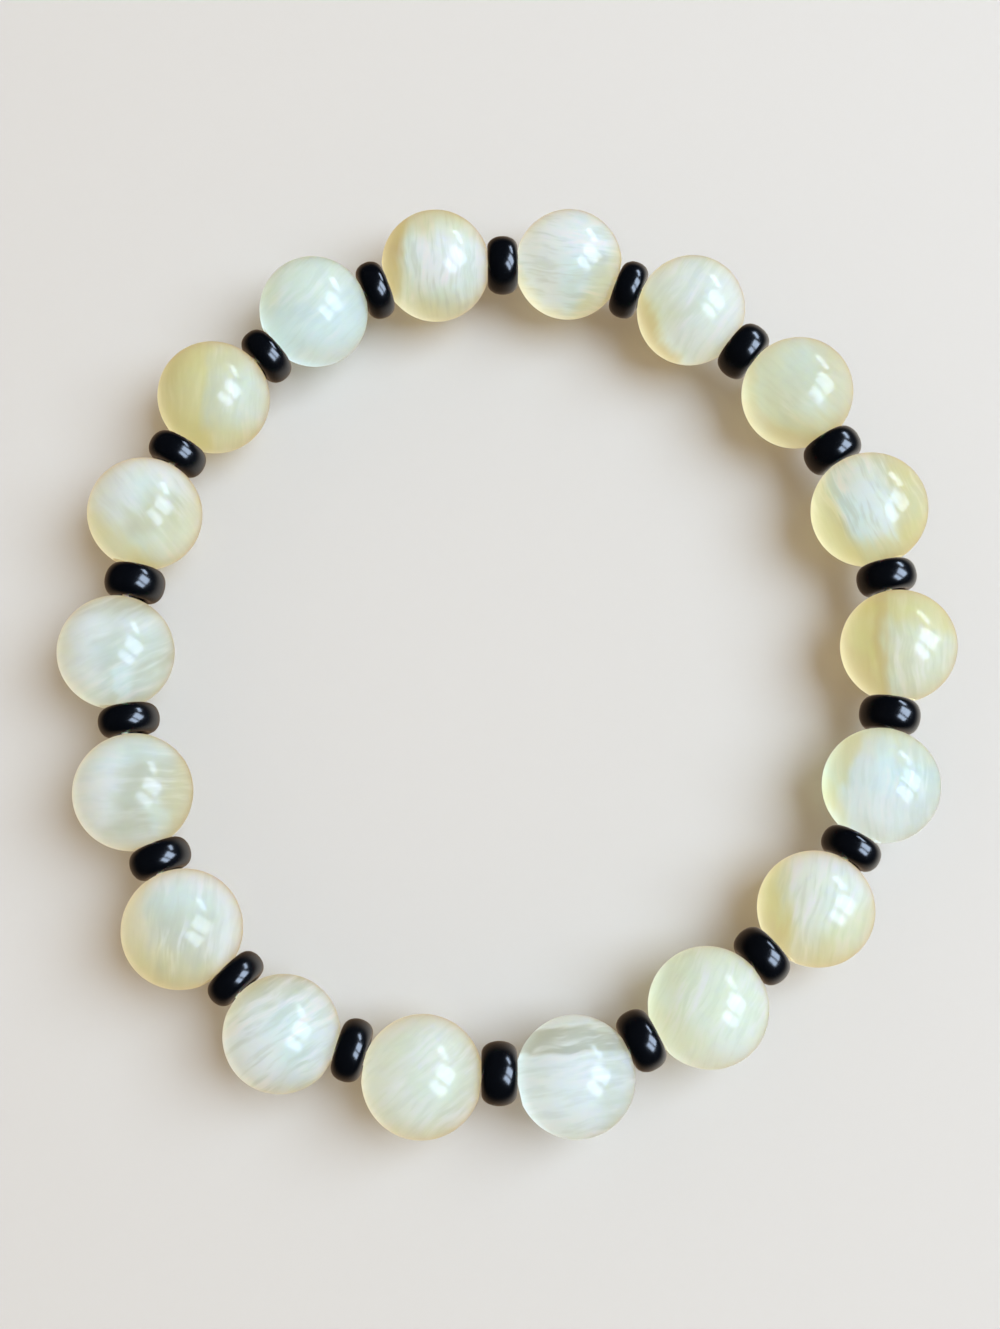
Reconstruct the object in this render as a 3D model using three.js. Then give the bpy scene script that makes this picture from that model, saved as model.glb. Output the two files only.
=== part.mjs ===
// A stretch bracelet: eighteen round stone beads with a small black glass bead between each
// two, all threaded on one loop of elastic cord, laid down flat.
//
// Millimetres, Z up. It lies on Z = 0, the middle of its outline is on the Z axis, and the loop is
// a little longer along Y than across X. Beads are counted clockwise, seen from above, from the
// one just left of the +Y end.

import * as THREE from 'three';

// ---------- driving sizes ----------

// Stone beads. Each is ground round and drilled through, with a small countersink at each mouth.
const STONE_BORE_RADIUS = 0.8;
const STONE_MOUTH_RADIUS = 1.0;
const STONE_MOUTH_DEPTH = 0.45;

// Spacer beads: glass rings, round from the rim of one end over the outside to the other.
const SPACER_DIAMETER = 4.2;
const SPACER_RIM_RADIUS = 1.3;
const SPACER_BORE_RADIUS = 0.95;
const SPACER_BEVEL = 0.2;
const SPACER_ROUNDING = 2.1; // power of the outside's oval: 2 is an ellipse, more is squarer
const SEAT_CLEARANCE = 0.05; // between a spacer and the stones on each side of it

// Elastic cord. Its tension draws it to the inner side of every bore.
const CORD_DIAMETER = 0.45;
const CORD_DRAWN_IN = 0.27;
const CORD_HELD = 0.55; // it runs straight over this part of each stone's radius, both ways

// The oval that the stones' centres follow. It is scaled by a hair to close on the last bead.
const OVAL_WIDTH = 55;
const OVAL_LENGTH = 59.4;
const OVAL_LEAN = THREE.MathUtils.degToRad(12); // its long way leans over to +X
const FIRST_BEAD_ANGLE = THREE.MathUtils.degToRad(113.5);

// One row for each stone and the spacer after it.
//   stone  diameter of the stone bead
//   out    how far its centre lies outside the oval
//   gap    clear distance from it to the next stone
//   slip   how far the spacer sits inside the straight line between the two stones
const BEADS = [
  { stone: 8.0, out: 0.1, gap: 1.9, slip: 0.0 },
  { stone: 7.9, out: -0.1, gap: 1.8, slip: 0.2 },
  { stone: 7.9, out: -0.4, gap: 2.0, slip: 0.0 },
  { stone: 8.0, out: -0.1, gap: 2.0, slip: 0.0 },
  { stone: 8.2, out: 0.1, gap: 2.0, slip: -0.2 },
  { stone: 8.0, out: 0.3, gap: 2.0, slip: 0.0 },
  { stone: 8.0, out: 0.3, gap: 1.8, slip: -0.2 },
  { stone: 7.9, out: -0.1, gap: 2.0, slip: 0.1 },
  { stone: 8.1, out: -0.6, gap: 2.0, slip: 0.1 },
  { stone: 8.0, out: 0.0, gap: 2.2, slip: 0.2 },
  { stone: 8.1, out: -0.2, gap: 1.9, slip: 0.3 },
  { stone: 7.8, out: 0.7, gap: 1.8, slip: 0.3 },
  { stone: 8.1, out: 0.3, gap: 1.9, slip: 0.2 },
  { stone: 8.1, out: -0.6, gap: 1.9, slip: 0.3 },
  { stone: 8.0, out: -0.3, gap: 2.2, slip: 0.3 },
  { stone: 8.0, out: 0.0, gap: 1.9, slip: -0.2 },
  { stone: 8.0, out: 0.2, gap: 1.8, slip: 0.2 },
  { stone: 7.9, out: 0.3, gap: 1.7, slip: 0.1 },
];

// How finely the round forms are faceted.
const STONE_FACETS = { around: 20, pole_to_pole: 10 };
const SPACER_FACETS = { around: 14, rim_to_rim: 6 };
const CORD_FACETS = { along: 108, around: 6 };

const UP = new THREE.Vector3(0, 0, 1);

// ---------- where the beads lie ----------

function nextOf(index) {
  return (index + 1) % BEADS.length;
}

// A point beside the oval, at an angle of the oval's own parameter.
function ovalPoint(angle, out, scale) {
  const halfWidth = OVAL_WIDTH / 2;
  const halfLength = OVAL_LENGTH / 2;
  const point = new THREE.Vector2(halfWidth * Math.cos(angle), halfLength * Math.sin(angle));
  const outward = new THREE.Vector2(Math.cos(angle) / halfWidth, Math.sin(angle) / halfLength);
  point.multiplyScalar(scale).addScaledVector(outward.normalize(), out);
  return point.rotateAround(new THREE.Vector2(), -OVAL_LEAN);
}

// Halves a range until it closes on the value where a test turns from false to true.
function turningPoint(low, high, test) {
  let [from, to] = [low, high];
  for (let round = 0; round < 50; round += 1) {
    const middle = (from + to) / 2;
    if (test(middle)) {
      to = middle;
    } else {
      from = middle;
    }
  }
  return (from + to) / 2;
}

// Steps clockwise from stone to stone, each a bead's reach from the last, once round the oval.
function walkRound(scale) {
  const centres = [ovalPoint(FIRST_BEAD_ANGLE, BEADS[0].out, scale)];
  let turned = 0;
  BEADS.forEach((bead, index) => {
    const next = BEADS[nextOf(index)];
    const reach = bead.stone / 2 + bead.gap + next.stone / 2;
    const pointAfter = (turn) => ovalPoint(FIRST_BEAD_ANGLE - turned - turn, next.out, scale);
    const far = (turn) => pointAfter(turn).distanceTo(centres[index]) > reach;
    const turn = turningPoint(0.1, 0.6, far);
    centres.push(pointAfter(turn));
    turned += turn;
  });
  centres.pop();
  return { centres, turned };
}

const closingScale = turningPoint(0.9, 1.1, (scale) => walkRound(scale).turned < 2 * Math.PI);

// Every stone rests on the surface, so its centre is one radius up.
const stoneCentres = walkRound(closingScale).centres.map((centre, index) => (
  new THREE.Vector3(centre.x, centre.y, BEADS[index].stone / 2)
));

// A stone's bore points along the line through the stones on both sides of it.
const stoneAxes = stoneCentres.map((_, index) => {
  const before = stoneCentres[(index + BEADS.length - 1) % BEADS.length];
  const after = stoneCentres[nextOf(index)];
  return after.clone().sub(before).setZ(0).normalize();
});

// ---------- forms ----------

// Turns a form made about the Y axis to lie along a level axis, its first facet edge straight up.
function layAlong(mesh, axis) {
  const level = axis.clone().setZ(0).normalize();
  const side = new THREE.Vector3().crossVectors(level, UP);
  mesh.quaternion.setFromRotationMatrix(new THREE.Matrix4().makeBasis(side, level, UP));
}

// How far a stone's surface has fallen away from its end, at a distance from its axis.
function fallFromEnd(stoneDiameter, fromAxis) {
  const radius = stoneDiameter / 2;
  return radius - Math.sqrt(radius ** 2 - fromAxis ** 2);
}

function stoneGeometry(diameter) {
  const radius = diameter / 2;
  const mouthAngle = Math.asin(STONE_MOUTH_RADIUS / radius);
  const boreEnd = radius * Math.cos(mouthAngle) - STONE_MOUTH_DEPTH;
  const outline = [
    new THREE.Vector2(STONE_BORE_RADIUS, boreEnd),
    new THREE.Vector2(STONE_BORE_RADIUS, -boreEnd),
  ];
  for (let step = 0; step <= STONE_FACETS.pole_to_pole; step += 1) {
    const share = step / STONE_FACETS.pole_to_pole;
    const angle = THREE.MathUtils.lerp(Math.PI - mouthAngle, mouthAngle, share);
    outline.push(new THREE.Vector2(radius * Math.sin(angle), radius * Math.cos(angle)));
  }
  outline.push(outline[0].clone());
  return new THREE.LatheGeometry(outline, STONE_FACETS.around);
}

function spacerGeometry(length) {
  const wall = SPACER_DIAMETER / 2 - SPACER_RIM_RADIUS;
  const rounded = (value) => Math.sign(value) * Math.abs(value) ** (2 / SPACER_ROUNDING);
  const boreEnd = length / 2 - SPACER_BEVEL;
  const outline = [
    new THREE.Vector2(SPACER_BORE_RADIUS, boreEnd),
    new THREE.Vector2(SPACER_BORE_RADIUS, -boreEnd),
  ];
  for (let step = 0; step <= SPACER_FACETS.rim_to_rim; step += 1) {
    const share = step / SPACER_FACETS.rim_to_rim;
    const angle = THREE.MathUtils.lerp(-Math.PI / 2, Math.PI / 2, share);
    outline.push(new THREE.Vector2(
      SPACER_RIM_RADIUS + wall * rounded(Math.cos(angle)),
      (length / 2) * rounded(Math.sin(angle)),
    ));
  }
  outline.push(outline[0].clone());
  return new THREE.LatheGeometry(outline, SPACER_FACETS.around);
}

// ---------- materials ----------

const satinStone = new THREE.MeshStandardMaterial({ color: 0xe6e3bb, roughness: 0.2 });
const blackGlass = new THREE.MeshStandardMaterial({ color: 0x0a0a0c, roughness: 0.08 });
const clearRubber = new THREE.MeshStandardMaterial({ color: 0xe9e7df, roughness: 0.45 });

// ---------- pieces ----------

function numbered(name, index) {
  return `${name}_${String(index + 1).padStart(2, '0')}`;
}

function stoneBead(index) {
  const mesh = new THREE.Mesh(stoneGeometry(BEADS[index].stone), satinStone);
  mesh.name = numbered('stone_bead', index);
  mesh.position.copy(stoneCentres[index]);
  layAlong(mesh, stoneAxes[index]);
  return mesh;
}

// A spacer is as long as fits between the two stones where its rims meet their round ends. Nearer
// the middle than the edge of a stone's mouth, there is nothing to meet.
function spacerBead(index) {
  const bead = BEADS[index];
  const next = BEADS[nextOf(index)];
  const nearestRim = Math.max(SPACER_RIM_RADIUS - Math.abs(bead.slip), STONE_MOUTH_RADIUS);
  const fall = Math.min(fallFromEnd(bead.stone, nearestRim), fallFromEnd(next.stone, nearestRim));
  const length = bead.gap + 2 * (fall - SEAT_CLEARANCE);

  const along = stoneCentres[nextOf(index)].clone().sub(stoneCentres[index]).normalize();
  const inward = new THREE.Vector3().crossVectors(along, UP).normalize();
  const mesh = new THREE.Mesh(spacerGeometry(length), blackGlass);
  mesh.name = numbered('spacer_bead', index);
  mesh.position.copy(stoneCentres[index]);
  mesh.position.addScaledVector(along, (bead.stone + bead.gap) / 2);
  mesh.position.addScaledVector(inward, bead.slip);
  layAlong(mesh, along);
  return mesh;
}

// The cord runs straight through each stone, on the inner side of its bore, and bends in between.
function elasticCord() {
  const route = [];
  stoneCentres.forEach((centre, index) => {
    const inward = new THREE.Vector3().crossVectors(stoneAxes[index], UP);
    const held = (BEADS[index].stone / 2) * CORD_HELD;
    [-held, held].forEach((along) => {
      const point = centre.clone().addScaledVector(stoneAxes[index], along);
      route.push(point.addScaledVector(inward, CORD_DRAWN_IN));
    });
  });
  const loop = new THREE.CatmullRomCurve3(route, true);
  const form = new THREE.TubeGeometry(
    loop,
    CORD_FACETS.along,
    CORD_DIAMETER / 2,
    CORD_FACETS.around,
    true,
  );
  const mesh = new THREE.Mesh(form, clearRubber);
  mesh.name = 'elastic_cord';
  return mesh;
}

// ---------- bracelet ----------

const bracelet = new THREE.Group();
BEADS.forEach((_, index) => {
  bracelet.add(stoneBead(index));
  bracelet.add(spacerBead(index));
});
bracelet.add(elasticCord());

const outline = new THREE.Box3().setFromObject(bracelet, true);
const middle = outline.getCenter(new THREE.Vector3());
bracelet.position.set(-middle.x, -middle.y, 0);

export default bracelet;
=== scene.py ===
# %% [markdown]
# # A beaded stretch bracelet
#
# Round beads of a pale, silky stone are threaded on an elastic cord, with a small ring of
# black glass between each two, and the bracelet is laid down flat. The construction model
# already says where every bead lies and how big it is. This notebook gives the beads their
# fine shape and their finish: a polished translucent stone full of satiny fibres, and
# glossy black glass.
#
# Everything is in metres. We start by loading the construction model, which is the frame
# that all the rest is measured from, and by keeping its overall box, printed at the end.

import math

import bmesh
import bpy
from mathutils import Matrix, Vector


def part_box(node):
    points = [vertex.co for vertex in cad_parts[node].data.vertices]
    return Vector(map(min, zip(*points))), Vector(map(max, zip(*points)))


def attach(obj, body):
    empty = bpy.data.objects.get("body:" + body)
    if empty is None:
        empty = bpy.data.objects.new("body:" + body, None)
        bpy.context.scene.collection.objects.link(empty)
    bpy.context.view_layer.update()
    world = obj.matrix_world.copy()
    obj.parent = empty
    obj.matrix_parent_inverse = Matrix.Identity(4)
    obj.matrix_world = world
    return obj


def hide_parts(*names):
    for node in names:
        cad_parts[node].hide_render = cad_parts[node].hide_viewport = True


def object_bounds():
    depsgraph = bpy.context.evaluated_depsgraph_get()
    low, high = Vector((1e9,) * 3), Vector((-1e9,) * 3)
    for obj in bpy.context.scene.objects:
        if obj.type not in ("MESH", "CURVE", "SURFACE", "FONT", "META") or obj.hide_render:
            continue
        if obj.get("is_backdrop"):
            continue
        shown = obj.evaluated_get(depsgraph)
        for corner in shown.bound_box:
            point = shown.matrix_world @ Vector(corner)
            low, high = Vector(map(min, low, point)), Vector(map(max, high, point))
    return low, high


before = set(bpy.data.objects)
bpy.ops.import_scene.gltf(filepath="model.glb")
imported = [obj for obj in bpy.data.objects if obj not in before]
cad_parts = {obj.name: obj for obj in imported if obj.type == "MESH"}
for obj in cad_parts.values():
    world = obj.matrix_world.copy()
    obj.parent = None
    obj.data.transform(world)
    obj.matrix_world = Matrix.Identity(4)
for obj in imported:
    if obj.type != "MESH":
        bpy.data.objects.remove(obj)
frame_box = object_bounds()
print("nodes in the frame:", len(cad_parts))

# %% [markdown]
# ## Two small helpers
#
# Beads are measured in millimetres and Blender works in metres, so a size is written as a
# number times `MM`. Colours are easiest to choose as the hex codes that a paint program
# shows, but Blender's shaders want linear light, so one function turns one into the other.

# %% Units and colours
MM = 0.001
UP = Vector((0, 0, 1))


def linear(hex_colour):
    """A six-digit sRGB hex colour as the linear RGBA that shaders expect."""
    channels = [int(hex_colour[start:start + 2], 16) / 255 for start in (0, 2, 4)]
    light = [c / 12.92 if c <= 0.04045 else ((c + 0.055) / 1.055) ** 2.4 for c in channels]
    return (*light, 1.0)


print("mid grey in linear light:", [round(c, 3) for c in linear("808080")])

# %% [markdown]
# ## Where the beads lie
#
# Each bead of the frame has a box. Its middle is the bead's middle, and as the beads are
# round about a level axis, its height is the bead's diameter. A stone's drilled hole points
# along the line through its two neighbours, and a spacer's along the line between the two
# stones that it parts.

# %% Read the places and sizes from the frame
stone_nodes = sorted(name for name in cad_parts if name.startswith("stone_bead"))
spacer_nodes = sorted(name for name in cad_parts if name.startswith("spacer_bead"))


def middle_of(node):
    low, high = (Vector(corner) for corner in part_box(node))
    return (low + high) / 2


def height_of(node):
    low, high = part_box(node)
    return high[2] - low[2]


def level(direction):
    return Vector((direction.x, direction.y, 0)).normalized()


middles = [middle_of(node) for node in stone_nodes]
count = len(middles)
stone_axes = [level(middles[(i + 1) % count] - middles[i - 1]) for i in range(count)]
spacer_axes = [level(middles[(i + 1) % count] - middles[i]) for i in range(count)]
print("stones:", count, "from", round(height_of(stone_nodes[0]) / MM, 2), "mm across")

# %% [markdown]
# ## Turning a bead
#
# A round bead is a solid of revolution, so the natural way to make one is a lathe: draw half
# of the cut face once and spin it about the thread hole. The outline is a closed loop, up
# the wall of the hole and back over the outside, so that the bead really is drilled through.
# Blender's `bmesh.ops.spin` turns a loop of edges into a skin. A ready-made sphere with a
# cylinder cut out of it would do too, but a cut leaves ragged faces round the hole, where a
# lathe leaves a neat grid.

# %% The lathe
def turned(name, outline, axis, middle, steps):
    """Spins a closed outline of (radius, along) points about a level axis through middle."""
    mesh = bmesh.new()
    verts = [mesh.verts.new((radius, along, 0)) for radius, along in outline]
    edges = [mesh.edges.new((verts[i - 1], verts[i])) for i in range(len(verts))]
    bmesh.ops.spin(
        mesh, geom=verts + edges, cent=(0, 0, 0), axis=(0, 1, 0),
        angle=2 * math.pi, steps=steps, use_merge=True,
    )
    bmesh.ops.recalc_face_normals(mesh, faces=mesh.faces)
    for face in mesh.faces:
        face.smooth = True
    side = axis.cross(UP)
    mesh.transform(Matrix((side, axis, UP)).transposed().to_4x4())

    data = bpy.data.meshes.new(name)
    mesh.to_mesh(data)
    mesh.free()
    piece = bpy.data.objects.new(name, data)
    piece.location = middle
    bpy.context.collection.objects.link(piece)
    return piece


def arc(centre, radii, start, end, steps):
    """Points on an ellipse round centre, from one angle to another, both ends included."""
    angles = [math.radians(start + (end - start) * i / steps) for i in range(steps + 1)]
    return [
        (centre[0] + radii[0] * math.cos(a), centre[1] + radii[1] * math.sin(a))
        for a in angles
    ]


print("a half circle in 8 steps has", len(arc((0, 0), (1, 1), 0, 180, 8)), "points")

# %% [markdown]
# ## The stone beads
#
# A stone bead is ground to a ball, drilled, and polished in a tumbler. The drill leaves a
# sharp ring at each mouth that would cut the cord, so it is eased with a small countersink,
# and tumbling rounds what is left. The outline is therefore the hole's straight wall, a
# slope, a little round-over and the ball. The round-over matters: light catches it.

# %% Make the stones
HOLE_RADIUS = 0.8 * MM
MOUTH_RADIUS = 0.9 * MM
MOUTH_DEPTH = 0.4 * MM
EASING = 0.1 * MM
BALL_STEPS = 44
STONE_LATHE_STEPS = 96


def stone_outline(radius):
    mouth = math.degrees(math.asin((MOUTH_RADIUS + EASING) / radius))
    ball = arc((0, 0), (radius, radius), mouth - 90, 90 - mouth, BALL_STEPS)
    rim_height = math.sqrt(radius ** 2 - (MOUTH_RADIUS + EASING) ** 2) - EASING / 2
    hole_end = rim_height - MOUTH_DEPTH
    top = [(MOUTH_RADIUS, rim_height), (HOLE_RADIUS, hole_end)]
    bottom = [(HOLE_RADIUS, -hole_end), (MOUTH_RADIUS, -rim_height)]
    return ball + top + bottom


stones = []
for node, middle, axis in zip(stone_nodes, middles, stone_axes):
    outline = stone_outline(height_of(node) / 2)
    stone = turned("silky_" + node, outline, axis, middle, STONE_LATHE_STEPS)
    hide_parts(node)
    stones.append(stone)
print("points in one stone's outline:", len(outline))

# %% [markdown]
# ## The spacer beads
#
# A glass spacer is made by winding or pressing hot glass into a ring, and the surface pulls
# itself smooth. Its outside, from the rim of one end to the other, is half of a superellipse:
# the formula of an ellipse with the power raised a little, a touch fuller than round. A small
# round-over leads from each rim into the hole. The length of each bead comes from its own
# node in the frame, because no two are quite alike.

# %% Make the spacers
SPACER_RIM_RADIUS = 1.3 * MM
SPACER_HOLE_RADIUS = 0.95 * MM
FULLNESS = 2.1
OUTSIDE_STEPS = 32
LIP_STEPS = 5
SPACER_LATHE_STEPS = 64


def length_along(node, axis):
    """How long a frame node is along an axis, from its own vertices."""
    reach = [vertex.co.dot(axis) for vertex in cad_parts[node].data.vertices]
    return max(reach) - min(reach)


def fuller(value):
    return math.copysign(abs(value) ** (2 / FULLNESS), value)


def spacer_outline(radius, length):
    wall = radius - SPACER_RIM_RADIUS
    lip = SPACER_RIM_RADIUS - SPACER_HOLE_RADIUS
    lip_start = length / 2 - lip
    outside = [
        (SPACER_RIM_RADIUS + wall * fuller(math.cos(a)), length / 2 * fuller(math.sin(a)))
        for a in (math.pi * (i / OUTSIDE_STEPS - 0.5) for i in range(OUTSIDE_STEPS + 1))
    ]
    top = arc((SPACER_RIM_RADIUS, lip_start), (lip, lip), 90, 180, LIP_STEPS)
    bottom = arc((SPACER_RIM_RADIUS, -lip_start), (lip, lip), 180, 270, LIP_STEPS)
    return outside + top[1:] + bottom[:-1]


spacers = []
for node, axis in zip(spacer_nodes, spacer_axes):
    outline = spacer_outline(height_of(node) / 2, length_along(node, axis))
    spacer = turned("glass_" + node, outline, axis, middle_of(node), SPACER_LATHE_STEPS)
    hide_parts(node)
    spacers.append(spacer)
print("spacers:", len(spacers), "of", round(height_of(spacer_nodes[0]) / MM, 2), "mm")

# %% [markdown]
# ## A helper for materials
#
# A Blender material is a graph of nodes. One short function adds a node, sets its options
# and fills its inputs: a plain value is typed into the socket, and a socket of another node
# is linked to it. Two more start a material and finish it.

# %% Adding nodes
def add_node(material, kind, inputs=None, **settings):
    node = material.node_tree.nodes.new(kind)
    for key, value in settings.items():
        setattr(node, key, value)
    for key, value in (inputs or {}).items():
        if isinstance(value, bpy.types.NodeSocket):
            material.node_tree.links.new(value, node.inputs[key])
        else:
            node.inputs[key].default_value = value
    return node


def new_material(name):
    material = bpy.data.materials.new(name)
    material.use_nodes = True
    material.node_tree.nodes.clear()
    return material


def finish_material(material, shader):
    add_node(material, "ShaderNodeOutputMaterial", {"Surface": shader.outputs[0]})
    print("material:", material.name, "with", len(material.node_tree.nodes), "nodes")


# %% [markdown]
# ## The cord
#
# It is the simplest finish, so it comes first. Stretch cord of this kind is a clear, slightly
# milky plastic, drawn through a die, so it is smooth with a soft haze inside. Only a hair of
# it shows where two beads don't quite touch. A finer tube could be drawn round the whole
# loop, but the construction model's own cord does for that. The shader is Principled, with
# typical values for a clear plastic.

# %% The cord's plastic
HAZE_SIZE = 0.8 * MM


def clear_elastic():
    m = new_material("clear_stretch_cord")
    haze = add_node(m, "ShaderNodeTexNoise", {
        "Vector": add_node(m, "ShaderNodeTexCoord").outputs["Object"],
        "Scale": 1 / HAZE_SIZE,
        "Detail": 2.0,
    })
    tone = add_node(m, "ShaderNodeMix", {
        "Factor": haze.outputs["Fac"], "A": linear("DAD8CF"), "B": linear("F0EFEA"),
    }, data_type="RGBA")
    finish_material(m, add_node(m, "ShaderNodeBsdfPrincipled", {
        "Base Color": tone.outputs["Result"],
        "Roughness": 0.4,
        "IOR": 1.5,
        "Subsurface Weight": 0.6,
        "Subsurface Scale": 0.3 * MM,
    }))
    return m


plastic = clear_elastic()
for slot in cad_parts["elastic_cord"].material_slots:
    slot.material = plastic

# %% [markdown]
# ## Black glass
#
# Pressed black glass is so dark that nearly all it shows is its own gloss: a small bright
# window in each bead and a dim rim where the surface turns away. Its colour is a very dark
# grey with the faintest swirl, because paint as black as ink looks like a hole. Its IOR is
# that of any common glass. Pressed glass keeps a trace of the mould's skin, so it is a little
# rougher than a polished pane, and that softens the window's edges. A true glass shader would
# trace light on through each bead, but none comes out of black glass, so an opaque one does.

# %% The spacers' glass
SWIRL_SIZE = 1.5 * MM


def black_glass():
    m = new_material("black_pressed_glass")
    swirl = add_node(m, "ShaderNodeTexNoise", {
        "Vector": add_node(m, "ShaderNodeTexCoord").outputs["Object"],
        "Scale": 1 / SWIRL_SIZE,
        "Detail": 1.0,
    })
    tone = add_node(m, "ShaderNodeMix", {
        "Factor": swirl.outputs["Fac"], "A": linear("030406"), "B": linear("07080B"),
    }, data_type="RGBA")
    finish_material(m, add_node(m, "ShaderNodeBsdfPrincipled", {
        "Base Color": tone.outputs["Result"],
        "Roughness": 0.18,
        "IOR": 1.52,
    }))
    return m


glass = black_glass()
for spacer in spacers:
    spacer.data.materials.append(glass)
    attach(spacer, "root")

# %% [markdown]
# ## Silky stone
#
# The stones are a fibrous mineral in the manner of satin spar. Hair-fine crystals lie side by
# side and scatter light sideways, which gives pale silky streaks, and between them the stone
# is a little clearer and greener. Parts of a bead are stained the colour of honey, often up
# to a flat boundary where the crystal stopped growing and started again.
#
# Each bead is cut from another spot, so each gets its own line in a small chart: which way
# its fibres run, how much they show, how warm the stone makes light that goes through it,
# and a few zones. A zone is where one or two slabs of the bead overlap. A slab lies in some
# compass direction, from one distance to another, and later its edges get frayed. Random
# numbers for each bead would be less work, but then no bead could be chosen one by one, as the
# beads of a real strand are.
#
# The first five paints are in every stone: the plain stone and its clouds, the gaps between
# fibres, their shine, and the tint of light that comes from deep inside. The shine is partly
# the fibres' own paleness and partly painted sheen, their satin gloss painted into the colour.
# The deep tint is painted light as well: it makes light let through the stone yellower lower
# in the bead. Milk and snow are where fibres are dense, cream where they are a little stained,
# and clear where they are few. Honey and tan are stains. Glow is painted light: a pale yellow
# on one side of a bead, mostly the side away from the window, in place of light that has come
# through the stone. All three lie over the streaks and half hide them.

# %% A chart of the stones
PAINTS = {
    "plain": "CDDACD",
    "cloud": "DDE5DA",
    "gap": "B6C4B5",
    # shine: painted sheen over the fibres' own paleness
    "shine": "F8FFFF",
    # deep: painted tint of light let through, strongest low in the bead
    "deep": "F2DAA6",
    "milk": "E2FEFF",
    "snow": "F0FFFF",
    "cream": "F2FFE0",
    "honey": "E0DA94",
    "tan": "D0C090",
    "clear": "B8BCAD",
    # glow: painted light, a pale yellow in place of light come through the stone
    "glow": "F0E5AF",
}
STAINS_AND_PAINTED_GLOW = ("honey", "tan", "glow")
PAST_THE_BEAD = 9.0  # millimetres, more than any bead is across


def slab(towards, start, soft, end=PAST_THE_BEAD):
    """A compass direction in degrees from +X, then a start, an edge's softness and an end, mm."""
    return dict(towards=towards, start=start, soft=soft, end=end)


def zone(paint, amount, *slabs):
    """How strongly a paint lies where all its slabs overlap, or everywhere if it has none."""
    return dict(paint=paint, amount=amount, slabs=slabs)
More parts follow.
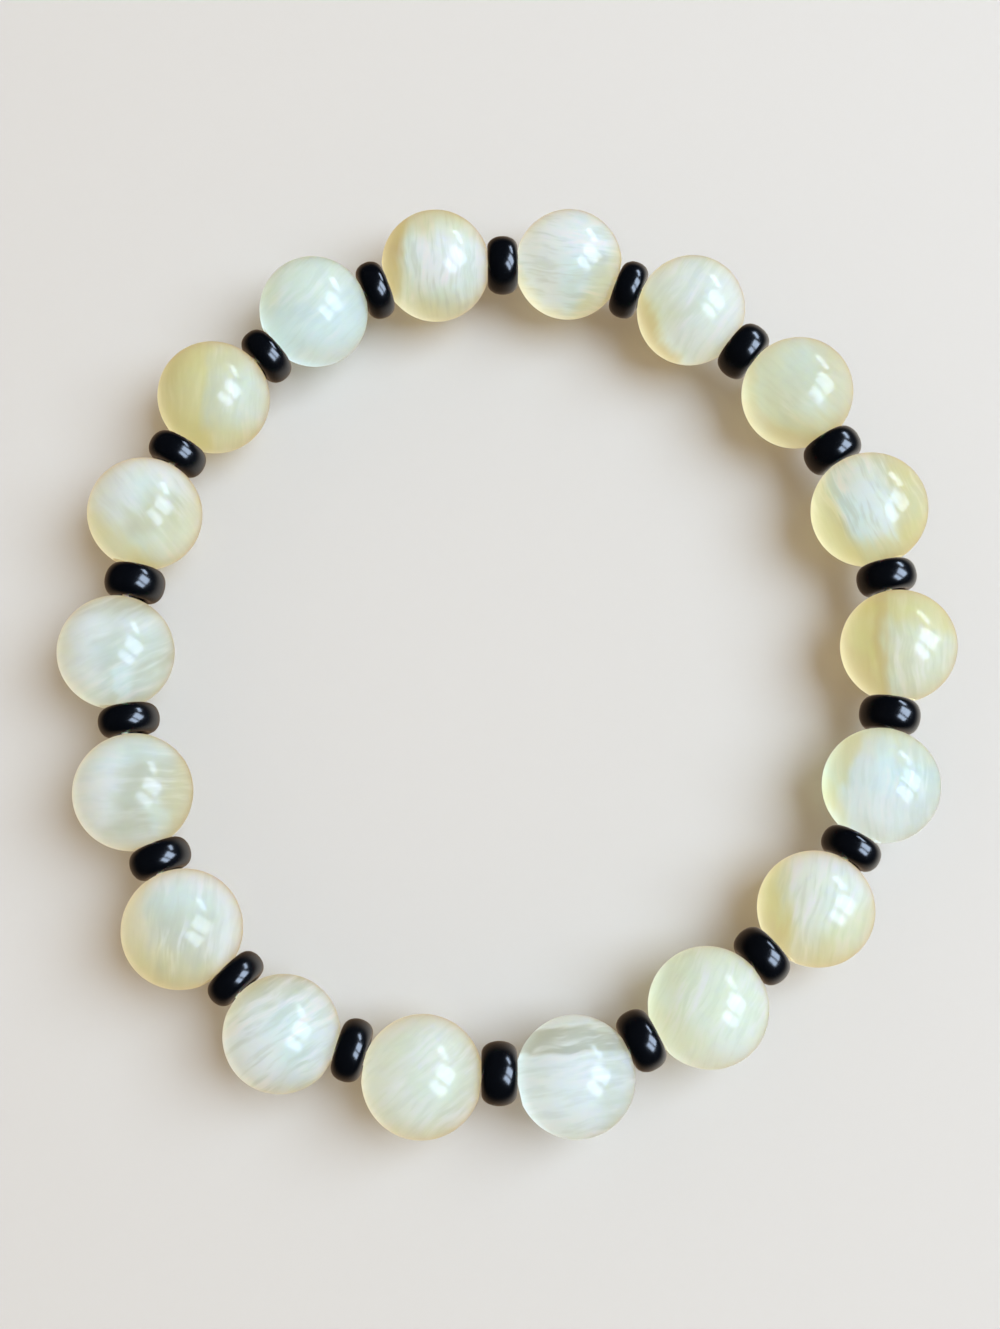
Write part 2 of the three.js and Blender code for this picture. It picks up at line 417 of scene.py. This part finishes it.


# grain: the fibres' compass direction in degrees; silk: how much they show; warm: how strongly
# light let through is painted yellower low in the bead
# glow zones are painted light, mostly on the side away from the window; honey and tan are stains
STONE_CHART = [
    dict(grain=92, silk=0.9, warm=1.2, zones=[
        zone("milk", 0.95, slab(0, -2.6, 1.2), slab(90, -2.2, 1.8)),
        zone("cream", 0.3),
        zone("snow", 1.0, slab(0, -1.2, 1.6, 1.6), slab(90, -1.2, 1.6, 2.4)),
        zone("snow", 0.5, slab(0, 2.8, 1.2)),
        zone("tan", 1.0, slab(175, 2.5, 1.0)),
        zone("tan", 0.4, slab(98, 2.8, 1.0)),
        zone("honey", 0.35, slab(90, 2.0, 1.2)),
        zone("honey", 0.3, slab(225, 1.8, 1.4)),
        zone("glow", 0.2, slab(262, 2.5, 1.4)),
    ]),
    dict(grain=173, silk=0.9, warm=1.1, zones=[
        zone("milk", 1.0, slab(160, -1.4, 2.0)),
        zone("milk", 0.9, slab(100, 0.8, 1.6)),
        zone("milk", 0.7, slab(280, 1.4, 1.6)),
        zone("snow", 1.0, slab(175, 0.2, 2.0, 3.4)),
        zone("snow", 0.5, slab(90, 0.6, 1.6, 2.8)),
        zone("milk", 0.5, slab(0, 2.8, 1.2)),
        zone("honey", 0.5, slab(325, 2.2, 1.4)),
        zone("honey", 0.3, slab(228, 2.6, 1.4)),
        zone("glow", 0.5, slab(217, 3.1, 1.2)),
    ]),
    dict(grain=52, silk=0.35, warm=1.0, zones=[
        zone("milk", 0.35),
        zone("milk", 0.6, slab(325, 0.6, 1.0)),
        zone("cream", 0.35, slab(350, 0.6, 1.4)),
        zone("cream", 0.5, slab(180, 0.8, 1.6, 2.8)),
        zone("snow", 0.5, slab(270, 1.0, 1.6, 3.0)),
        zone("snow", 0.4, slab(90, 0.8, 1.6, 3.0)),
        zone("snow", 0.7, slab(0, 2.6, 1.2)),
        zone("honey", 1.0, slab(195, 2.6, 1.8)),
        zone("tan", 1.0, slab(208, 2.6, 1.2)),
    ]),
    dict(grain=140, silk=0.3, warm=1.0, zones=[
        zone("honey", 0.2),
        zone("milk", 0.5, slab(125, 1.0, 2.2)),
        zone("milk", 0.5, slab(320, 1.0, 1.6)),
        zone("cream", 0.5, slab(180, 0.6, 1.8, 2.8)),
        zone("milk", 0.2),
        zone("honey", 0.5, slab(275, 1.8, 2.0)),
        zone("honey", 0.5, slab(180, 2.8, 1.2)),
        zone("tan", 0.4, slab(15, 1.8, 1.6)),
        zone("tan", 0.6, slab(240, 2.2, 1.6)),
    ]),
    dict(grain=114, silk=1.0, warm=1.0, zones=[
        zone("milk", 1.0, slab(24, -1.8, 0.9, 1.2)),
        zone("snow", 0.6, slab(24, -0.6, 1.2, 1.6)),
        zone("honey", 0.65, slab(204, 2.0, 1.0)),
        zone("honey", 0.5, slab(0, 1.6, 1.4)),
        zone("tan", 0.3, slab(0, 1.4, 1.0, 2.9)),
        zone("honey", 0.6, slab(290, 1.9, 1.8)),
        zone("honey", 0.2, slab(95, 1.6, 1.8)),
        zone("honey", 0.3, slab(230, 2.0, 1.4)),
        zone("tan", 0.3, slab(215, 2.9, 1.0)),
    ]),
    dict(grain=92, silk=0.6, warm=1.1, zones=[
        zone("honey", 0.15),
        zone("milk", 0.25, slab(0, 0.6, 1.8)),
        zone("cream", 0.3),
        zone("honey", 0.65, slab(75, 1.8, 1.8)),
        zone("honey", 0.75, slab(180, 0.9, 1.0)),
        zone("tan", 0.5, slab(180, 0.7, 0.6, 1.5)),
        zone("tan", 0.8, slab(200, 2.4, 1.4)),
        zone("milk", 0.5, slab(0, -1.2, 0.7, 0.4), slab(270, 1.8, 1.4)),
    ]),
    dict(grain=86, silk=0.35, warm=0.25, zones=[
        zone("milk", 1.0),
        zone("snow", 0.7, slab(180, 0.0, 2.0, 2.6)),
        zone("snow", 1.0, slab(275, 0.6, 2.0)),
        zone("honey", 0.55, slab(155, 2.4, 0.7)),
        zone("honey", 0.5, slab(205, 3.0, 1.0)),
        zone("tan", 0.2, slab(230, 2.4, 1.4)),
        zone("glow", 0.3, slab(90, 1.8, 1.6)),
        zone("cream", 0.6, slab(90, 2.9, 1.2)),
        zone("clear", 0.4, slab(0, 1.2, 1.6)),
    ]),
    dict(grain=76, silk=0.6, warm=1.2, zones=[
        zone("milk", 0.7, slab(30, 0.0, 1.8)),
        zone("milk", 0.8, slab(75, 1.2, 1.8)),
        zone("snow", 0.7, slab(180, -0.2, 1.4, 2.0), slab(90, -1.6, 1.6)),
        zone("cream", 0.4),
        zone("snow", 0.8, slab(85, 2.6, 1.4)),
        zone("snow", 0.4, slab(0, 2.9, 1.2)),
        zone("honey", 0.8, slab(182, 2.0, 1.4)),
        zone("glow", 0.35, slab(255, 2.2, 1.8)),
        zone("honey", 0.4, slab(315, 1.8, 1.6)),
        zone("tan", 0.6, slab(200, 2.9, 1.0)),
    ]),
    dict(grain=62, silk=0.45, warm=0.55, zones=[
        zone("milk", 0.6),
        zone("clear", 0.15, slab(0, 1.0, 1.2, 2.8)),
        zone("milk", 0.9, slab(290, 1.8, 1.6)),
        zone("cream", 0.6),
        zone("snow", 0.7, slab(280, 2.6, 1.6)),
        zone("honey", 0.2, slab(185, 3.0, 1.2)),
        zone("glow", 0.25, slab(235, 1.6, 2.0)),
    ]),
    dict(grain=9, silk=0.5, warm=0.3, zones=[
        zone("snow", 1.0),
        zone("clear", 0.75, slab(93, 1.6, 0.4, 3.1)),
        zone("clear", 0.45, slab(0, 1.4, 1.6)),
    ]),
    dict(grain=38, silk=0.35, warm=1.1, zones=[
        zone("milk", 0.5, slab(350, -1.0, 3.0, 2.0)),
        zone("milk", 0.4, slab(100, 1.6, 1.6)),
        zone("snow", 0.6, slab(205, 0.8, 2.0)),
        zone("cream", 0.4),
        zone("snow", 0.5, slab(95, 2.8, 1.2)),
        zone("clear", 0.25, slab(345, 2.0, 1.6)),
        zone("glow", 0.2, slab(270, 3.0, 1.4)),
    ]),
    dict(grain=33, silk=0.9, warm=0.85, zones=[
        zone("milk", 0.9, slab(285, -1.6, 2.4)),
        zone("snow", 1.0, slab(210, 0.4, 2.0)),
        zone("clear", 0.3, slab(320, 1.2, 1.6)),
        zone("snow", 0.6, slab(5, 1.8, 1.4)),
        zone("honey", 0.3, slab(140, 3.0, 1.0)),
    ]),
    dict(grain=84, silk=0.45, warm=1.2, zones=[
        zone("clear", 0.2),
        zone("milk", 0.6, slab(90, 0.8, 2.2)),
        zone("snow", 1.0, slab(90, 2.6, 1.2)),
        zone("snow", 0.9, slab(185, 2.2, 1.4)),
        zone("snow", 0.8, slab(5, 2.0, 1.2)),
        zone("glow", 0.55, slab(190, 2.0, 1.8)),
        zone("honey", 0.4, slab(255, 1.8, 2.0)),
    ]),
    dict(grain=2, silk=0.22, warm=1.0, zones=[
        zone("clear", 0.5, slab(0, -0.6, 2.2)),
        zone("snow", 1.0, slab(180, 1.2, 1.8)),
        zone("milk", 0.6, slab(100, 2.0, 1.6)),
        zone("milk", 0.4, slab(20, 0.5, 0.7, 1.8), slab(290, 1.4, 1.4)),
        zone("snow", 0.5, slab(262, 2.6, 1.4)),
        zone("honey", 0.3, slab(350, 2.4, 1.6)),
    ]),
    dict(grain=28, silk=0.3, warm=0.9, zones=[
        zone("clear", 0.7, slab(340, -1.2, 2.4)),
        zone("milk", 0.4, slab(118, -1.6, 1.4, 1.0)),
        zone("snow", 0.9, slab(180, 1.0, 1.8)),
        zone("snow", 0.5, slab(100, 1.0, 1.6, 2.6)),
        zone("milk", 0.5, slab(290, 1.8, 1.6)),
        zone("clear", 0.4, slab(95, 2.6, 1.2)),
        zone("milk", 0.7, slab(0, 0.2, 0.6, 1.3), slab(270, 1.2, 1.2)),
        zone("glow", 0.2, slab(195, 2.8, 1.4)),
    ]),
    dict(grain=130, silk=0.3, warm=1.2, zones=[
        zone("clear", 0.65, slab(330, -1.6, 2.4, 2.8)),
        zone("milk", 0.8, slab(125, 1.0, 2.0)),
        zone("snow", 0.8, slab(180, 1.2, 2.0)),
        zone("milk", 0.6, slab(280, 1.2, 1.6)),
        zone("snow", 0.8, slab(90, 2.5, 1.4)),
        zone("snow", 0.4, slab(0, 2.8, 1.2)),
        zone("cream", 0.25),
        zone("honey", 0.5, slab(228, 1.9, 1.4)),
        zone("honey", 0.25, slab(315, 1.4, 1.6)),
        zone("milk", 0.35, slab(8, 0.3, 0.7, 1.3), slab(278, 1.4, 1.2)),
    ]),
    dict(grain=88, silk=0.45, warm=1.1, zones=[
        zone("honey", 0.15),
        zone("milk", 0.5, slab(345, 1.0, 1.6)),
        zone("honey", 0.5, slab(262, 1.6, 2.0)),
        zone("honey", 0.4, slab(95, 1.8, 1.8)),
        zone("honey", 0.65, slab(180, 0.4, 1.2)),
        zone("tan", 0.25, slab(180, 2.2, 1.6)),
    ]),
    dict(grain=45, silk=0.25, warm=0.25, zones=[
        zone("milk", 0.75),
        zone("milk", 0.9, slab(275, 0.5, 2.0)),
        zone("snow", 0.7, slab(275, 2.4, 1.4)),
        zone("clear", 0.2, slab(95, 0.0, 2.4)),
        zone("cream", 0.4, slab(95, 1.2, 2.0)),
        zone("glow", 0.15, slab(180, 2.8, 1.4)),
    ]),
]
print("stones in the chart:", len(STONE_CHART))

# %% [markdown]
# ## How the fibres stand
#
# In a translucent stone the eye follows a layer down into the bead, and a layer seen on edge
# is a straight line. On the curved skin of a bead it would be an arc. So the pattern is
# stretched in depth as well, into thin sheets, which stand so that they would all meet high
# above the bracelet. A bead can lie any way round on its cord, so the lean of its sheets is
# free to choose.
#
# The point where they would meet is that of somebody bending over the bracelet, and so it is
# about where this scene's camera stands: from there the sheets are seen on edge. It is typed
# in as a constant, and no node reads the camera. The sheets are fixed in the bead and stay
# put in every other view, and from the side they are seen as sheets.
#
# A slow noise bends the coordinates, and the fibres fan and sway a little. It is the same at
# every depth, so that the sheets stay whole.

# %% Places in a stone
MEETING_POINT = Vector((-2, -19, 101)) * MM
SWAY = 0.9 * MM
SWAY_SIZE = 3 * MM


def place_in_stone(m, middle):
    """Metres from a bead's middle, with Z along its sheets, and bent by the sway."""
    lean = (MEETING_POINT - middle).rotation_difference(UP).to_euler()
    leaned = add_node(m, "ShaderNodeMapping", {
        "Vector": add_node(m, "ShaderNodeTexCoord").outputs["Object"],
        "Rotation": tuple(lean),
    })
    flat = add_node(m, "ShaderNodeVectorMath", {
        0: leaned.outputs[0], 1: (1, 1, 0),
    }, operation="MULTIPLY")
    bend = add_node(m, "ShaderNodeTexNoise", {
        "Vector": flat.outputs[0], "Scale": 1 / SWAY_SIZE, "Detail": 1.0,
    })
    centred = add_node(m, "ShaderNodeVectorMath", {
        0: bend.outputs["Color"], 1: (0.5, 0.5, 0.5),
    }, operation="SUBTRACT")
    return add_node(m, "ShaderNodeVectorMath", {
        0: centred.outputs[0], 1: (SWAY, SWAY, SWAY), 2: leaned.outputs[0],
    }, operation="MULTIPLY_ADD").outputs[0]


print("the sheets would meet", round(MEETING_POINT.z / MM), "mm up")

# %% [markdown]
# ## Fibres from stretched noise
#
# A noise texture is a field of soft blobs. Turned so that one of its axes lies along the
# fibres, and stretched many times longer that way than across, it becomes streaks. The
# Mapping node's "Texture" mode takes the turn and the three sizes as real lengths. Fibres
# could also be modelled one by one, or drawn on an image, but noise is far lighter than the
# first and fills the depth of a bead, which the second can't.
#
# Three sizes work together: clouds, satin bands about a millimetre wide, and threads. Real
# fibres are finer than a hair, too fine to draw at this distance, so the threads here are
# just under half a millimetre.

# %% Streaks
CLOUDS = Vector((4, 2.5, 4)) * MM  # along the fibres, across them and in depth
BANDS = Vector((5, 1.2, 40)) * MM
THREADS = Vector((2.6, 0.42, 40)) * MM
NOISE_RANGE = (0.28, 0.72)  # nearly all of a noise's values lie between these


def streaks(m, place, grain, size, seed):
    """Noise drawn out to a size, from 0 to 1."""
    sized = add_node(m, "ShaderNodeMapping", {
        "Vector": place,
        "Location": (seed, 2 * seed, 3 * seed),
        "Rotation": (0, 0, math.radians(grain)),
        "Scale": tuple(size),
    }, vector_type="TEXTURE")
    noise = add_node(m, "ShaderNodeTexNoise", {
        "Vector": sized.outputs[0], "Scale": 1.0, "Detail": 2.0, "Roughness": 0.55,
    })
    return add_node(m, "ShaderNodeMapRange", {
        "Value": noise.outputs["Fac"], "From Min": NOISE_RANGE[0], "From Max": NOISE_RANGE[1],
    }).outputs[0]


print("threads are", round(THREADS.y / MM, 2), "mm wide and satin bands", round(BANDS.y / MM, 2))

# %% [markdown]
# ## Zones with soft, frayed edges
#
# How far a place lies in a compass direction is a dot product. A Map Range node turns that
# distance into a soft step at each face of a slab, and feeding one step into the "To Max" of
# the next multiplies them, so that a zone is only where all its steps are up. The streaks are
# added to the distance, and the edge runs out between the fibres as a real stain does.

# %% Where a zone is
FRAY = 0.7 * MM


def frayed(m, bands, clouds):
    """What the streaks add to a distance, from -FRAY to +FRAY."""
    uneven = add_node(m, "ShaderNodeMath", {0: bands, 1: clouds})
    return add_node(m, "ShaderNodeMath", {
        0: uneven.outputs[0], 1: FRAY, 2: -FRAY,
    }, operation="MULTIPLY_ADD").outputs[0]


def zone_amount(m, place, part, fray):
    """How much of a zone is at each place, from 0 to its full amount."""
    amount = part["amount"]
    for layer in part["slabs"]:
        angle = math.radians(layer["towards"])
        straight = add_node(m, "ShaderNodeVectorMath", {
            0: place, 1: (math.cos(angle), math.sin(angle), 0),
        }, operation="DOT_PRODUCT")
        distance = add_node(m, "ShaderNodeMath", {0: straight.outputs["Value"], 1: fray})
        half_soft = layer["soft"] * MM / 2
        faces = [(layer["start"] * MM, half_soft)]
        if layer["end"] < PAST_THE_BEAD:
            faces.append((layer["end"] * MM, -half_soft))
        for face, rise in faces:
            amount = add_node(m, "ShaderNodeMapRange", {
                "Value": distance.outputs[0],
                "From Min": face - rise,
                "From Max": face + rise,
                "To Max": amount,
            }, interpolation_type="SMOOTHSTEP").outputs[0]
    return amount


slab_count = sum(len(part["slabs"]) for look in STONE_CHART for part in look["zones"])
print("slabs in all zones:", slab_count)

# %% [markdown]
# ## Colour in thin coats
#
# The colour is built up as a painter glazes: coat over coat, each as strong as its own
# pattern says. First the plain stone with its clouds, then the zones inside it, the darker
# gaps between threads, the satin shine where threads, bands and clouds agree, which is painted
# sheen over the fibres' own paleness, and last the stains and the painted glow, which half
# hide the shine.

# %% The stone's colours
GAP_STRENGTH = 0.36
GAP_RANGE = (0.6, 0.1)  # no gap where threads are this strong, and a full one where this weak
SHINE_STRENGTH = 1.5
SHINE_RANGES = ((0.2, 0.7), (0.1, 0.7), (0.3, 0.9))  # for clouds, bands and threads


def stone_colour(m, place, look, seed):
    """The colour at each place in a stone."""
    clouds, bands, threads = (
        streaks(m, place, look["grain"], size, seed) for size in (CLOUDS, BANDS, THREADS)
    )
    fray = frayed(m, bands, clouds)
    zones = [(part["paint"], zone_amount(m, place, part, fray)) for part in look["zones"]]
    # the stains and the painted glow go last, over the painted sheen
    inside = [coat for coat in zones if coat[0] not in STAINS_AND_PAINTED_GLOW]
    stain_and_glow_coats = [coat for coat in zones if coat[0] in STAINS_AND_PAINTED_GLOW]

    gaps = add_node(m, "ShaderNodeMapRange", {
        "Value": threads, "From Min": GAP_RANGE[0], "From Max": GAP_RANGE[1],
        "To Max": GAP_STRENGTH * look["silk"],
    }, interpolation_type="SMOOTHSTEP").outputs[0]
    # Painted sheen: the fibres' satin gloss, a light effect, is painted as bright streaks into
    # the colour, over their own paleness.
    shine = SHINE_STRENGTH * look["silk"]
    for pattern, (low, high) in zip((clouds, bands, threads), SHINE_RANGES):
        shine = add_node(m, "ShaderNodeMapRange", {
            "Value": pattern, "From Min": low, "From Max": high, "To Max": shine,
        }, interpolation_type="SMOOTHSTEP").outputs[0]

    colour = linear(PAINTS["plain"])
    coats = [("cloud", clouds), *inside, ("gap", gaps), ("shine", shine), *stain_and_glow_coats]
    for paint, amount in coats:
        colour = add_node(m, "ShaderNodeMix", {
            "Factor": amount, "A": colour, "B": linear(PAINTS[paint]),
        }, data_type="RGBA").outputs["Result"]
    return colour


# the glow among these is painted light, not a stain
print("stains over the shine:", ", ".join(STAINS_AND_PAINTED_GLOW))

# %% [markdown]
# ## Light inside the stone
#
# Two things happen to light in such a bead. Some of it is scattered just under the skin:
# Principled subsurface does that by random walks, with red light going furthest, so shaded
# sides turn warm. Some goes in at one side and out at the other, which no skin model gives.
# A Translucent shader adds it: light that falls on the far wall from inside spreads out of
# it. The Backfacing switch makes the wall clear from inside, so that nothing else stops the
# light on its way. The light let through is painted yellower low in the bead, by height alone:
# painted light, in place of the longer way that light from above takes through the stone.
#
# The fibres give a broad satin gloss, with the IOR of satin spar, and over it lies the
# polish, a clear coat. It is not quite a mirror, because this stone is soft, and its IOR is
# raised from a wax's 1.5 until the window in it is bright enough. A little sheen stands for
# the bright rim of a milky ball. The stones are kept out of mirror reflections, because the
# black beads would show them as broad white bands.

# %% Make the stone materials
PASSING = 0.75  # how much of the skin lets light through; the rest scatters it back
UPPER_PLACE, LOWER_PLACE = 3.2 * MM, 0.2 * MM  # above the bead's middle
UPPER_YELLOW, LOWER_YELLOW = 0.12, 0.64
SEED_STEP = 3.7 * MM  # moves the noise on from stone to stone, so that no two are alike


def silky_stone(index, look):
    m = new_material(f"silky_stone_{index + 1:02d}")
    place = place_in_stone(m, middles[index])
    colour = stone_colour(m, place, look, (index + 1) * SEED_STEP)
    # Painted light: light let through is tinted yellower lower in the bead, by height alone, in
    # place of the longer way light from above takes through the stone.
    yellow = add_node(m, "ShaderNodeMapRange", {
        "Value": add_node(m, "ShaderNodeSeparateXYZ", {"Vector": place}).outputs["Z"],
        "From Min": UPPER_PLACE,
        "From Max": LOWER_PLACE,
        "To Min": UPPER_YELLOW * look["warm"],
        "To Max": LOWER_YELLOW * look["warm"],
    }, interpolation_type="SMOOTHSTEP")
    passed = add_node(m, "ShaderNodeMix", {
        "Factor": yellow.outputs[0], "A": colour, "B": linear(PAINTS["deep"]),
    }, data_type="RGBA")

    polish = add_node(m, "ShaderNodeBsdfPrincipled", {
        "Base Color": colour,
        "Roughness": 0.45,
        "IOR": 1.52,
        "Specular IOR Level": 0.22,
        "Specular Tint": linear("D2E6FF"),
        "Subsurface Weight": 1.0,
        "Subsurface Radius": (1.0, 0.8, 0.4),
        "Subsurface Scale": 7 * MM,
        "Coat Weight": 1.0,
        "Coat Roughness": 0.11,
        "Coat IOR": 1.8,
        "Sheen Weight": 0.8,
        "Sheen Roughness": 0.25,
        "Sheen Tint": linear("FFE6BE"),
    }, subsurface_method="RANDOM_WALK")
    outer = add_node(m, "ShaderNodeBsdfTranslucent", {"Color": passed.outputs["Result"]})
    inner = add_node(m, "ShaderNodeBsdfTransparent")
    skin = add_node(m, "ShaderNodeMixShader", {
        0: PASSING, 1: polish.outputs[0], 2: outer.outputs[0],
    })
    finish_material(m, add_node(m, "ShaderNodeMixShader", {
        0: add_node(m, "ShaderNodeNewGeometry").outputs["Backfacing"],
        1: skin.outputs[0],
        2: inner.outputs[0],
    }))
    return m


for index, (stone, look) in enumerate(zip(stones, STONE_CHART)):
    stone.data.materials.append(silky_stone(index, look))
    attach(stone, "root")
    stone.visible_glossy = False

# %% [markdown]
# ## Floor
#
# A round sheet of matt paper, which ends where the light on it does. Cloth would draw the eye
# away from the beads. The paper is a warm grey, which the cool light of the window turns
# nearly white and leaves warm in the shadows. It is kept out of mirror reflections, so that
# the black beads keep a thin dark rim and not a broad grey one.

# %% Floor
FLOOR_RADIUS = 0.35
FLOOR_STEPS = 128

floor_mesh = bmesh.new()
bmesh.ops.create_circle(floor_mesh, cap_ends=True, segments=FLOOR_STEPS, radius=FLOOR_RADIUS)
floor_data = bpy.data.meshes.new("pale_floor")
floor_mesh.to_mesh(floor_data)
floor_mesh.free()
floor = bpy.data.objects.new("pale_floor", floor_data)
bpy.context.collection.objects.link(floor)
floor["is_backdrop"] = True
floor.visible_glossy = False
paper = new_material("pale_matt_paper")
finish_material(paper, add_node(paper, "ShaderNodeBsdfPrincipled", {
    "Base Color": linear("B1A598"), "Roughness": 0.9, "Specular IOR Level": 0.2,
}))
floor_data.materials.append(paper)

# %% [markdown]
# ## Light
#
# The light is a window to the right, a bit more than halfway up. What it does to the stones'
# colour and what it looks like in their polish are set apart, as a product studio does with a
# big soft screen and a small window: the screen lights everything and can't be seen in the
# gloss, and three narrow panes show in the gloss and light nothing. The panes are laid out as
# two casements with a bar between and a sliver of a third, seen aslant.

# %% Lights
LAMP_DISTANCE = 0.7
WINDOW_RADIANCE = 14.5
WINDOW_COLOUR = "D0E4FF"


def pane(name, azimuth, elevation, size, roll, radiance=WINDOW_RADIANCE, colour=WINDOW_COLOUR):
    """An area lamp facing the bracelet; its size is a share of its distance."""
    data = bpy.data.lights.new(name, "AREA")
    data.shape = "RECTANGLE"
    data.size = size[0] * LAMP_DISTANCE
    data.size_y = size[1] * LAMP_DISTANCE
    data.energy = radiance * math.pi * data.size * data.size_y
    data.color = linear(colour)[:3]
    lamp = bpy.data.objects.new(name, data)
    a, e = math.radians(azimuth), math.radians(elevation)
    out = Vector((math.cos(e) * math.cos(a), math.cos(e) * math.sin(a), math.sin(e)))
    lamp.location = out * LAMP_DISTANCE
    lamp.rotation_euler = out.to_track_quat("Z", "Y").to_euler()
    lamp.rotation_euler.rotate_axis("Z", math.radians(roll))
    bpy.context.collection.objects.link(lamp)
    print("lamp:", name, "of", round(data.energy, 2), "W")
    return lamp


screen = pane("soft_screen", 12, 55, (0.8, 0.8), 0, radiance=12.4, colour="C2DFFF")
screen.visible_glossy = False
for window in (
    pane("window_main", 8, 42.5, (0.46, 0.66), -38),
    pane("window_low", -31, 52.5, (0.30, 0.62), -8),
    pane("window_tip", 48.4, 24.9, (0.45, 0.20), -22),
):
    window.visible_diffuse = False

# %% [markdown]
# ## The room
#
# The rest of the light comes from the room, a little warmer and stronger from low down, where
# pale walls are, than from overhead. To the gloss the room is dark. Below its horizon is a
# dim glow in place of the hidden floor: brown on the side of the beads' shadows, and brighter
# and greyer on the side where the window lights the paper. A low view sees past the paper to
# a plain backdrop, as pale as the paper's edge is. The Light Path node tells the three apart.

# %% The room
WALL_LIGHT, CEILING_LIGHT = 1.24, 0.62

room = bpy.data.worlds.new("soft_room")
bpy.context.scene.world = room
room.use_nodes = True
room.node_tree.nodes.clear()
direction = add_node(room, "ShaderNodeSeparateXYZ", {
    "Vector": add_node(room, "ShaderNodeTexCoord").outputs["Generated"],
})
fading_up = add_node(room, "ShaderNodeMapRange", {
    "Value": direction.outputs["Z"], "To Min": WALL_LIGHT, "To Max": CEILING_LIGHT,
})
fill = add_node(room, "ShaderNodeBackground", {
    "Color": linear("FFF1DA"), "Strength": fading_up.outputs[0],
})
print("room light from walls to ceiling:", WALL_LIGHT, "to", CEILING_LIGHT)

# %% The glow below the horizon
SHADOW_GLOW, SUNNY_GLOW = 0.5, 1.2
SHADOW_SIDE, SUNNY_SIDE = -0.2, 0.8  # how far a ray points to +X
FULL_DEPTH, NO_DEPTH = -0.6, 0.05  # how far it points up

sunny, glow = (
    add_node(room, "ShaderNodeMapRange", {
        "Value": direction.outputs["X"], "From Min": SHADOW_SIDE, "From Max": SUNNY_SIDE,
        "To Min": low, "To Max": high,
    }, interpolation_type="SMOOTHSTEP").outputs[0]
    for low, high in ((0.0, 1.0), (SHADOW_GLOW, SUNNY_GLOW))
)
below = add_node(room, "ShaderNodeMapRange", {
    "Value": direction.outputs["Z"], "From Min": FULL_DEPTH, "From Max": NO_DEPTH,
    "To Min": glow, "To Max": 0.0,
}, interpolation_type="SMOOTHSTEP")
glow_tint = add_node(room, "ShaderNodeMix", {
    "Factor": sunny, "A": linear("C8A888"), "B": linear("E6E2DA"),
}, data_type="RGBA")
horizon = add_node(room, "ShaderNodeBackground", {
    "Color": glow_tint.outputs["Result"], "Strength": below.outputs[0],
})
print("glow from the shadow side to the sunny side:", SHADOW_GLOW, "to", SUNNY_GLOW)

# %% What each ray sees
backdrop = add_node(room, "ShaderNodeBackground", {"Color": linear("E6E3DD"), "Strength": 1.0})
ray = add_node(room, "ShaderNodeLightPath")
reflected = add_node(room, "ShaderNodeMixShader", {
    0: ray.outputs["Is Glossy Ray"], 1: fill.outputs[0], 2: horizon.outputs[0],
})
seen = add_node(room, "ShaderNodeMixShader", {
    0: ray.outputs["Is Camera Ray"], 1: reflected.outputs[0], 2: backdrop.outputs[0],
})
add_node(room, "ShaderNodeOutputWorld", {"Surface": seen.outputs[0]})
print("nodes in the room's light:", len(room.node_tree.nodes))

# %% [markdown]
# ## Camera
#
# The camera is nearly straight above and close, about ten centimetres up, as one bends over a
# bracelet on a table. So near, the beads at the edge are seen a little from the side.

# %% Camera
SENSOR_HEIGHT = 36.0  # in millimetres, like the lens
LENS = 37.9
CAMERA_DISTANCE = 102.5 * MM
CAMERA_TILT = math.radians(10.3)
CAMERA_LEAN = math.radians(-0.7)
LOOKS_AT = Vector((-0.57, -0.35, 0)) * MM

camera_data = bpy.data.cameras.new("camera")
camera_data.sensor_fit = "VERTICAL"
camera_data.sensor_height = SENSOR_HEIGHT
camera_data.lens = LENS
camera_data.clip_start = 0.01
camera = bpy.data.objects.new("camera", camera_data)
camera.rotation_euler = (CAMERA_TILT, CAMERA_LEAN, 0)
camera.location = LOOKS_AT + camera.rotation_euler.to_matrix() @ (UP * CAMERA_DISTANCE)
bpy.context.collection.objects.link(camera)
bpy.context.scene.camera = camera
bpy.context.scene.view_settings.view_transform = "Standard"
print("the camera is", round(camera.location.z / MM), "mm up")

# %% Finish
sizes = {"frame": frame_box, "visual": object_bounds()}
for name, (low, high) in sizes.items():
    print(name, "is", [round((b - a) / MM, 2) for a, b in zip(low, high)], "mm")
